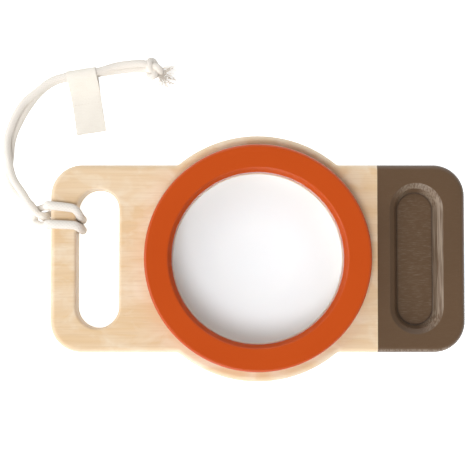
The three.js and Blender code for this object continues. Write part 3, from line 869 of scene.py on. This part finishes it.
def label_stitches():
    """A row of thread across the label, over both plies, that closes the loop."""
    solid = Solid()
    pitch = LABEL_WIDTH / (STITCH_COUNT + 1)
    top = LABEL_LIFT + LABEL_PLY_GAP + LABEL_THICKNESS / 2
    for number in range(STITCH_COUNT):
        x = (number - (STITCH_COUNT - 1) / 2) * pitch
        line = []
        for step in range(HAIR_STEPS + 1):
            part = step / HAIR_STEPS
            sink = STITCH_SINK * abs(2 * part - 1) ** 3
            along = x + (part - 0.5) * STITCH_SHARE * pitch
            line.append(LABEL @ Vector((along, STITCH_Y, top + STITCH_RISE - sink)))
        hair(solid, np.array(line), THREAD_RADIUS)
    return mesh_object("label_thread", solid.points, solid.faces)


# Materials

def material(name):
    """A new material, its node tree and its Principled shader."""
    made = bpy.data.materials.new(name)
    made.use_nodes = True
    tree = made.node_tree
    return made, tree, tree.nodes["Principled BSDF"]


def add(tree, kind, inputs=None, **settings):
    """A new node with its settings, and its inputs set to values or linked to other nodes."""
    node = tree.nodes.new("ShaderNode" + kind)
    for key, value in settings.items():
        setattr(node, key, value)
    for key, value in (inputs or {}).items():
        if isinstance(value, bpy.types.NodeSocket):
            tree.links.new(value, node.inputs[key])
        else:
            node.inputs[key].default_value = value
    return node


def place_in(tree, scale):
    """The place on the object, in metres, stretched by a scale along each axis."""
    coordinates = add(tree, "TexCoord").outputs["Object"]
    return add(tree, "VectorMath", {0: coordinates, 1: scale}, operation="MULTIPLY").outputs[0]


def noise(tree, scale, detail=2.0, roughness=0.5, distortion=0.0):
    """A cloudy pattern, 0 to 1, that repeats about scale times in a metre along each axis."""
    inputs = {"Vector": place_in(tree, scale), "Scale": 1.0, "Detail": detail}
    inputs.update({"Roughness": roughness, "Distortion": distortion})
    return add(tree, "TexNoise", inputs).outputs["Fac"]


def ramp(tree, value, stops):
    """A colour or grey from a value: stops are pairs of a position and a colour."""
    node = add(tree, "ValToRGB", {"Fac": value})
    elements = node.color_ramp.elements
    while len(elements) < len(stops):
        elements.new(0.5)
    for element, (position, colour) in zip(elements, stops):
        element.position = position
        element.color = (*colour, 1) if isinstance(colour, tuple) else (colour, colour, colour, 1)
    return node.outputs["Color"]


def mixed(tree, factor, one, two):
    """Two colours mixed by a factor."""
    node = add(tree, "Mix", data_type="RGBA")
    for socket, value in ((node.inputs[0], factor), (node.inputs[6], one), (node.inputs[7], two)):
        if isinstance(value, bpy.types.NodeSocket):
            tree.links.new(value, socket)
        else:
            socket.default_value = value
    return node.outputs[2]


def maths(tree, operation, *values):
    """The result of an operation on values or on other nodes' outputs."""
    node = add(tree, "Math", dict(enumerate(values)), operation=operation)
    return node.outputs[0]


def tinted(tree, colour, tint, value, stops):
    """A colour with a tint mixed in by a value, as far as the stops say."""
    return mixed(tree, ramp(tree, value, stops), colour, (*tint, 1))


def facing(tree, axis):
    """How far a surface faces along an axis, -1 to 1."""
    normal = add(tree, "NewGeometry").outputs["Normal"]
    return add(tree, "SeparateXYZ", {0: normal}).outputs[axis]


def surface(tree, shader, colour, roughness, specular):
    """Gives a shader its colour and shine."""
    tree.links.new(colour, shader.inputs["Base Color"])
    shader.inputs["Roughness"].default_value = roughness
    shader.inputs["Specular IOR Level"].default_value = specular


def bump(tree, shader, height, depth, strength):
    """Gives a shader the relief of a height, 0 to 1, that is depth metres deep."""
    node = add(tree, "Bump", {"Height": height, "Distance": depth, "Strength": strength})
    tree.links.new(node.outputs["Normal"], shader.inputs["Normal"])


def bare_wood():
    made, tree, shader = material("Bare pale wood")
    bands = noise(tree, WOOD_BANDS, detail=3, roughness=0.55, distortion=0.3)
    colour = ramp(tree, bands, [(0.32, WOOD_PALE), (0.5, WOOD_WARM), (0.68, WOOD_PALE)])
    patches = noise(tree, WOOD_PATCHES, detail=2)
    colour = tinted(tree, colour, WOOD_WARM, patches, [(0.42, 0.0), (0.66, 0.6)])
    figure = noise(tree, WOOD_FIGURE, detail=3, distortion=0.6)
    colour = tinted(tree, colour, WOOD_FIGURE_AND_EDGE_SHEEN, figure, [(0.45, 0.0), (0.68, 0.6)])
    fibres = noise(tree, WOOD_FIBRES, detail=3, roughness=0.6)
    colour = tinted(tree, colour, WOOD_DEEP, fibres, [(0.45, 0.0), (0.8, 0.4)])
    pores = noise(tree, WOOD_PORES, detail=1)
    colour = tinted(tree, colour, WOOD_PORE, pores, [(0.68, 0.0), (0.78, 0.3)])
    # The rounded edges are painted paler: a painted sheen, standing in for the bright room reflected at a
    # glancing angle
    edge = maths(tree, "MULTIPLY", rounded_edge(tree), WOOD_EDGE_SHEEN_SHARE)
    colour = mixed(tree, edge, colour, (*WOOD_FIGURE_AND_EDGE_SHEEN, 1))
    tree.links.new(colour, shader.inputs["Base Color"])
    tree.links.new(ramp(tree, fibres, [(0.3, 0.42), (0.8, 0.55)]), shader.inputs["Roughness"])
    bump(tree, shader, fibres, depth=0.00005, strength=0.5)
    return made


def rounded_edge(tree):
    """How far a surface has turned over from the flat front or back, 0 to 1."""
    upright = maths(tree, "ABSOLUTE", facing(tree, "Z"))
    return add(tree, "MapRange", {"Value": upright, "From Min": 0.99, "From Max": 0.4}).outputs[0]


def lit_pocket_side(tree):
    """How far a slope faces the plate's middle, 0 to 1, toward the light from the left, where a painted
    highlight goes.
    """
    limits = {"Value": facing(tree, "X"), "From Min": -0.15, "From Max": -0.6}
    return add(tree, "MapRange", limits).outputs[0]


def lit_near_edge(tree):
    """How far a rounded edge faces the near side, 0 to 1, toward the light there, where a painted highlight
    goes.
    """
    near = maths(tree, "MULTIPLY", facing(tree, "Y"), -1.0)
    return ramp(tree, near, [(0.3, 0.0), (0.7, 0.8), (0.97, 0.0)])


def pocket_corner_shade(tree):
    """How near a place is to the line where the pocket's wall meets its floor, 0 to 1, where painted shade
    goes.
    """
    place = add(tree, "SeparateXYZ", {0: place_in(tree, (1, 1, 1))})
    x = maths(tree, "SUBTRACT", place.outputs["X"], HALF_LENGTH - POCKET_WALL - POCKET_WIDTH / 2)
    y = maths(tree, "ABSOLUTE", place.outputs["Y"])
    y = maths(tree, "SUBTRACT", y, (POCKET_LENGTH - POCKET_WIDTH) / 2)
    y = maths(tree, "MAXIMUM", y, 0.0)
    out = maths(tree, "MULTIPLY", x, x)
    out = maths(tree, "SQRT", maths(tree, "ADD", out, maths(tree, "MULTIPLY", y, y)))
    corner = POCKET_WIDTH / 2 - POCKET_DRAFT
    limits = {"Value": out, "From Min": corner - CORNER_SHADE_WIDTH, "From Max": corner + CORNER_SHADE_WIDTH}
    near = add(tree, "MapRange", limits).outputs[0]
    return ramp(tree, near, [(0.1, 0.0), (0.5, 0.75), (0.75, 0.0)])


def in_pocket(tree):
    """How deep a place lies in the grip's pocket, 0 to 1, where the paint is thin and the grain shows."""
    height = add(tree, "SeparateXYZ", {0: place_in(tree, (1, 1, 1))}).outputs["Z"]
    floor = TOP_Z - POCKET_DEPTH
    limits = {"Value": height, "From Min": TOP_Z - POCKET_BEVEL_FALL, "From Max": floor, "To Min": 0.15}
    return add(tree, "MapRange", limits).outputs[0]


def brown_paint():
    made, tree, shader = material("Brown paint on wood")
    cloud = noise(tree, BROWN_CLOUD, detail=3)
    colour = ramp(tree, cloud, [(0.35, PAINT_BROWN_DEEP), (0.7, PAINT_BROWN)])
    grain = noise(tree, BROWN_GRAIN, detail=3, roughness=0.6)
    fibres = mixed(tree, in_pocket(tree), MIDDLE_GREY, grain)
    colour = tinted(tree, colour, PAINT_BROWN_GRAIN_AND_HIGHLIGHT, fibres, [(0.5, 0.0), (0.75, 0.42)])
    # Slopes that face the light from the left and edges that face the near side are painted lighter: a
    # painted highlight, broken into streaks
    streaks = noise(tree, BROWN_STREAKS, detail=2)
    thin = ramp(tree, streaks, [(0.41, 0.15), (0.58, 1.0)])
    for lit_face in (lit_pocket_side(tree), lit_near_edge(tree)):
        highlight_streaks = mixed(tree, lit_face, BLACK, thin)
        colour = mixed(tree, highlight_streaks, colour, (*PAINT_BROWN_GRAIN_AND_HIGHLIGHT, 1))
    # Painted shade along the foot of the pocket's wall
    colour = mixed(tree, pocket_corner_shade(tree), colour, (*PAINT_BROWN_CORNER_SHADE, 1))
    surface(tree, shader, colour, roughness=0.32, specular=0.5)
    bump(tree, shader, fibres, depth=0.0001, strength=0.7)
    return made


def orange_paint():
    made, tree, shader = material("Orange paint on wood")
    cloud = noise(tree, ORANGE_CLOUD, detail=1)
    colour = ramp(tree, cloud, [(0.2, PAINT_ORANGE_DEEP), (0.8, PAINT_ORANGE)])
    surface(tree, shader, colour, roughness=0.24, specular=0.4)
    bump(tree, shader, noise(tree, ORANGE_PEEL, detail=2), depth=0.00002, strength=0.35)
    return made


def clear_lens():
    """Clear polished plastic that lets lamps and bounced light through."""
    made, tree, shader = material("Clear acrylic")
    settings = {"Roughness": 0.0, "IOR": 1.49, "Specular IOR Level": 0.2, "Transmission Weight": 1.0}
    for name, value in {"Base Color": LENS_COLOUR, **settings}.items():
        shader.inputs[name].default_value = value
    path = add(tree, "LightPath")
    through = maths(tree, "MAXIMUM", path.outputs["Is Shadow Ray"], path.outputs["Is Diffuse Ray"])
    clear = add(tree, "BsdfTransparent")
    mix = add(tree, "MixShader", {0: through, 1: shader.outputs[0], 2: clear.outputs[0]})
    tree.links.new(mix.outputs[0], tree.nodes["Material Output"].inputs["Surface"])
    return made


def cotton_cord():
    made, tree, shader = material("Braided cotton")
    relief = add(tree, "Attribute", attribute_name="relief").outputs["Fac"]
    # The low parts of the braid are painted darker: painted shade in its grooves
    colour = ramp(tree, relief, [(0.0, COTTON_TONE_AND_GROOVE_SHADE), (0.45, COTTON), (1.0, COTTON)])
    fuzz = noise(tree, COTTON_FUZZ, detail=3, roughness=0.7)
    colour = tinted(tree, colour, COTTON_TONE_AND_GROOVE_SHADE, fuzz, [(0.5, 0.0), (0.8, 0.25)])
    surface(tree, shader, colour, roughness=0.92, specular=CLOTH_SPECULAR)
    bump(tree, shader, fuzz, depth=0.00008, strength=0.6)
    return made


def cotton_fibre():
    made, tree, shader = material("Loose cotton fibre")
    tone = noise(tree, FIBRE_TONES, detail=2)
    colour = ramp(tree, tone, [(0.3, FIBRE), (0.7, COTTON)])
    surface(tree, shader, colour, roughness=0.9, specular=CLOTH_SPECULAR)
    return made


def woven_tape():
    made, tree, shader = material("Woven cotton tape")
    across = add(tree, "Attribute", attribute_name="tape_across").outputs["Fac"]
    along = add(tree, "Attribute", attribute_name="tape_along").outputs["Fac"]
    warp = maths(tree, "SINE", maths(tree, "MULTIPLY", across, TAPE_WARPS * 2 * math.pi))
    weft = maths(tree, "SINE", maths(tree, "MULTIPLY", along, 2 * math.pi / TAPE_WEFT_PITCH))
    weave = maths(tree, "MULTIPLY", warp, weft)
    height = maths(tree, "MULTIPLY_ADD", weave, 0.5, 0.5)
    # The low parts of the weave are painted darker: painted shade in its hollows
    colour = ramp(tree, height, [(0.1, TAPE_TONE_AND_WEAVE_SHADE), (0.5, TAPE), (1.0, TAPE)])
    slub = noise(tree, TAPE_SLUB, detail=3)
    colour = tinted(tree, colour, TAPE_TONE_AND_WEAVE_SHADE, slub, [(0.5, 0.0), (0.8, 0.35)])
    surface(tree, shader, colour, roughness=0.9, specular=CLOTH_SPECULAR)
    bump(tree, shader, height, depth=0.00006, strength=0.8)
    return made


def white_table():
    """White and lit from below, as a light table is, so that no shadow shows, but dimmer under the lens."""
    made, tree, shader = material("White table")
    shader.inputs["Base Color"].default_value = TABLE_COLOUR
    shader.inputs["Roughness"].default_value = 0.9
    shader.inputs["Specular IOR Level"].default_value = 0.0
    shader.inputs["Emission Color"].default_value = WHITE
    out = add(tree, "VectorMath", {0: place_in(tree, (1, 1, 0))}, operation="LENGTH").outputs["Value"]
    share = maths(tree, "DIVIDE", out, DISC_RADIUS)
    rim = WINDOW_RADIUS / DISC_RADIUS
    beside = ramp(tree, share, [
        (TABLE_GLOW_CORE * rim, TABLE_GLOW_AT_LENS),
        (TABLE_GLOW_DIM * rim, TABLE_GLOW_AT_RIM),
        (rim, TABLE_GLOW_AT_RIM),
        (1.0, TABLE_GLOW),
    ])
    seen = add(tree, "LightPath").outputs["Is Camera Ray"]
    glow = maths(tree, "MULTIPLY_ADD", seen, TABLE_GLOW_SEEN, beside)
    tree.links.new(glow, shader.inputs["Emission Strength"])
    return made


# Stage: table, light and camera

def stage():
    corners = [(-1, -1), (1, -1), (1, 1), (-1, 1)]
    points = [STRAP @ Vector((TABLE_HALF * x, TABLE_HALF * y, 0)) for x, y in corners]
    table = mesh_object("table", points, [(0, 1, 2, 3)])
    table.data.materials.append(white_table())
    lamp("key", KEY_FROM, KEY_STRENGTH, KEY_SOFTNESS)
    lamp("side", SIDE_FROM, SIDE_STRENGTH, SIDE_SOFTNESS)
    scene.world = white_room()
    scene.view_settings.view_transform = "Standard"


def lamp(name, source, strength, softness):
    """A large soft light, far away in a direction."""
    sun = bpy.data.lights.new(name, "SUN")
    sun.energy = strength
    sun.angle = softness
    obj = bpy.data.objects.new(name, sun)
    obj.rotation_euler = source.to_track_quat("Z", "Y").to_euler()
    obj.visible_glossy = False
    obj.visible_transmission = False
    scene.collection.objects.link(obj)


def white_room():
    """White all round, dimmer overhead and at the far side, so that flats keep their colour."""
    world = bpy.data.worlds.new("white room")
    world.use_nodes = True
    tree = world.node_tree
    direction = add(tree, "TexCoord").outputs["Generated"]
    across = add(tree, "SeparateXYZ", {0: direction})
    level = {"Value": across.outputs["Z"], "From Min": SKY_DIMS_FROM_Z, "From Max": SKY_DIMS_TO_Z}
    level.update({"To Min": SKY_STRENGTH, "To Max": SKY_STRENGTH * SKY_OVERHEAD})
    sides = {"Value": across.outputs["X"], "From Min": SKY_DIMS_FROM_X, "From Max": SKY_DIMS_TO_X}
    sides.update({"To Min": 1, "To Max": SKY_FAR_SIDE})
    ranges = [add(tree, "MapRange", ends).outputs[0] for ends in (level, sides)]
    total = maths(tree, "MULTIPLY", *ranges)
    for source, strength, edge in (
        (GLOW_FROM, KEY_GLOW, KEY_GLOW_EDGE),
        (SIDE_FROM, SIDE_GLOW, SIDE_GLOW_EDGE),
        (BACK_FROM, BACK_GLOW, BACK_GLOW_EDGE),
    ):
        towards = add(tree, "VectorMath", {0: direction, 1: source}, operation="DOT_PRODUCT").outputs["Value"]
        ends = {"Value": towards, "From Min": edge, "From Max": GLOW_CORE, "To Max": strength}
        glow = add(tree, "MapRange", ends, interpolation_type="SMOOTHSTEP")
        total = maths(tree, "ADD", total, glow.outputs[0])
    background = tree.nodes["Background"]
    background.inputs["Color"].default_value = WHITE
    tree.links.new(total, background.inputs["Strength"])
    return world


def camera():
    lens_data = bpy.data.cameras.new("camera")
    lens_data.lens = FOCAL_LENGTH
    lens_data.sensor_width = SENSOR_WIDTH
    obj = bpy.data.objects.new("camera", lens_data)
    ahead = (CAMERA_AIM - CAMERA_PLACE).normalized()
    right = ahead.cross(Vector((0, 1, 0))).normalized()
    turn = Matrix((right, right.cross(ahead), -ahead)).transposed().to_4x4()
    obj.matrix_world = Matrix.Translation(CAMERA_PLACE) @ turn
    scene.collection.objects.link(obj)
    scene.camera = obj


# Assembly

def finish_piece(obj, made, slot, *nodes):
    """Gives a piece its material and hides the solids that it stands for. The slot is not used."""
    obj.data.materials.append(made)
    if nodes:
        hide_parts(*nodes)


def strap():
    cotton = cotton_cord()
    upper, upper_line = strap_cord("strap_cord_upper", 1, UPPER_STUB, UPPER_TAIL)
    lower, lower_line = strap_cord("strap_cord_lower", -1, LOWER_STUB, LOWER_TAIL)
    finish_piece(upper, cotton, "cotton_cord", "strap_tail_upper", "strap_hitch")
    finish_piece(lower, cotton, "cotton_cord", "strap_tail_lower")
    knot = strap_knot()
    finish_piece(knot, cotton, "cotton_cord", "strap_knot")
    fray = strap_fray()
    fibre = cotton_fibre()
    finish_piece(fray, fibre, "cotton_fibre", "strap_fray")
    tape = woven_tape()
    label, tape_length = tape_label()
    finish_piece(label, tape, "label_tape", "label_loop", "label_leaf")
    thread = label_stitches()
    finish_piece(thread, fibre, "label_tape")
    for piece in (upper, lower):
        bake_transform(piece)
    for piece in (knot, fray):
        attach(piece, "strap")
    for piece in (label, thread):
        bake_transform(piece)


def toy():
    for piece, made, slot, node in (
        (body_plate(), bare_wood(), "bare_wood", "body_plate"),
        (grip_end(), brown_paint(), "brown_paint", "grip_end"),
        (lens_ring(), orange_paint(), "orange_paint", "lens_ring"),
        (lens(), clear_lens(), "clear_lens", "lens"),
    ):
        finish_piece(piece, made, slot, node)
        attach(piece, "body")


camera()
strap()
toy()
stage()
